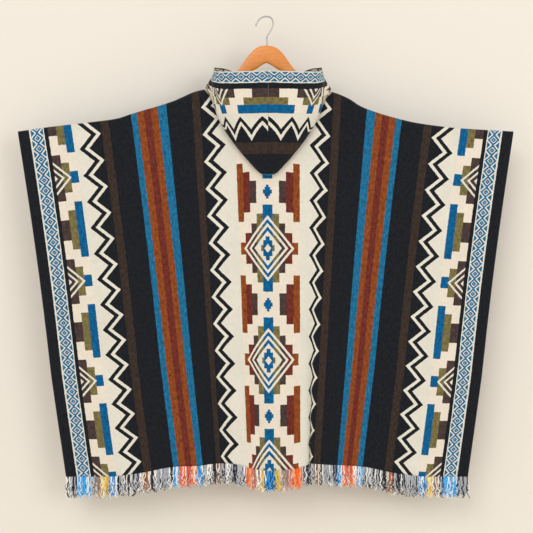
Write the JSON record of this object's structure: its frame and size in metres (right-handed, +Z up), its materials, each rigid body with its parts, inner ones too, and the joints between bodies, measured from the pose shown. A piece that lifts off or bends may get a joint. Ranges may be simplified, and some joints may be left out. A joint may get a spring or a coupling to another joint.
{
  "type": "hooded andean poncho on a wooden hanger",
  "caption": "Hooded blanket poncho with woven stripes and a fringed hem, hanging flat from a shaped wooden hanger with a wire hook.",
  "frame": {"origin": "inside of the bend of the hanger's wire hook, where a rail carries it", "axes": "+Z up along the hanging line, -Y out of the garment's back, +X to the right when the back is seen"},
  "size_m": [1.1923, 0.0907, 1.1561],
  "materials": {
    "blanket_cloth": "brushed woven cloth, matt",
    "hood_cloth": "brushed woven cloth, matt",
    "fringe_yarn": "twisted yarn, matt",
    "hanger_timber": "satin varnish",
    "hook_wire": "satin"
  },
  "bodies": {
    "root": {"hanger_hook": "hook_wire", "hanger_wood": "hanger_timber", "back_panel": "blanket_cloth", "front_panel": "blanket_cloth", "hood_left": "hood_cloth", "hood_right": "hood_cloth", "fringe_back": "fringe_yarn", "fringe_front": "fringe_yarn"}
  },
  "joints": []
}
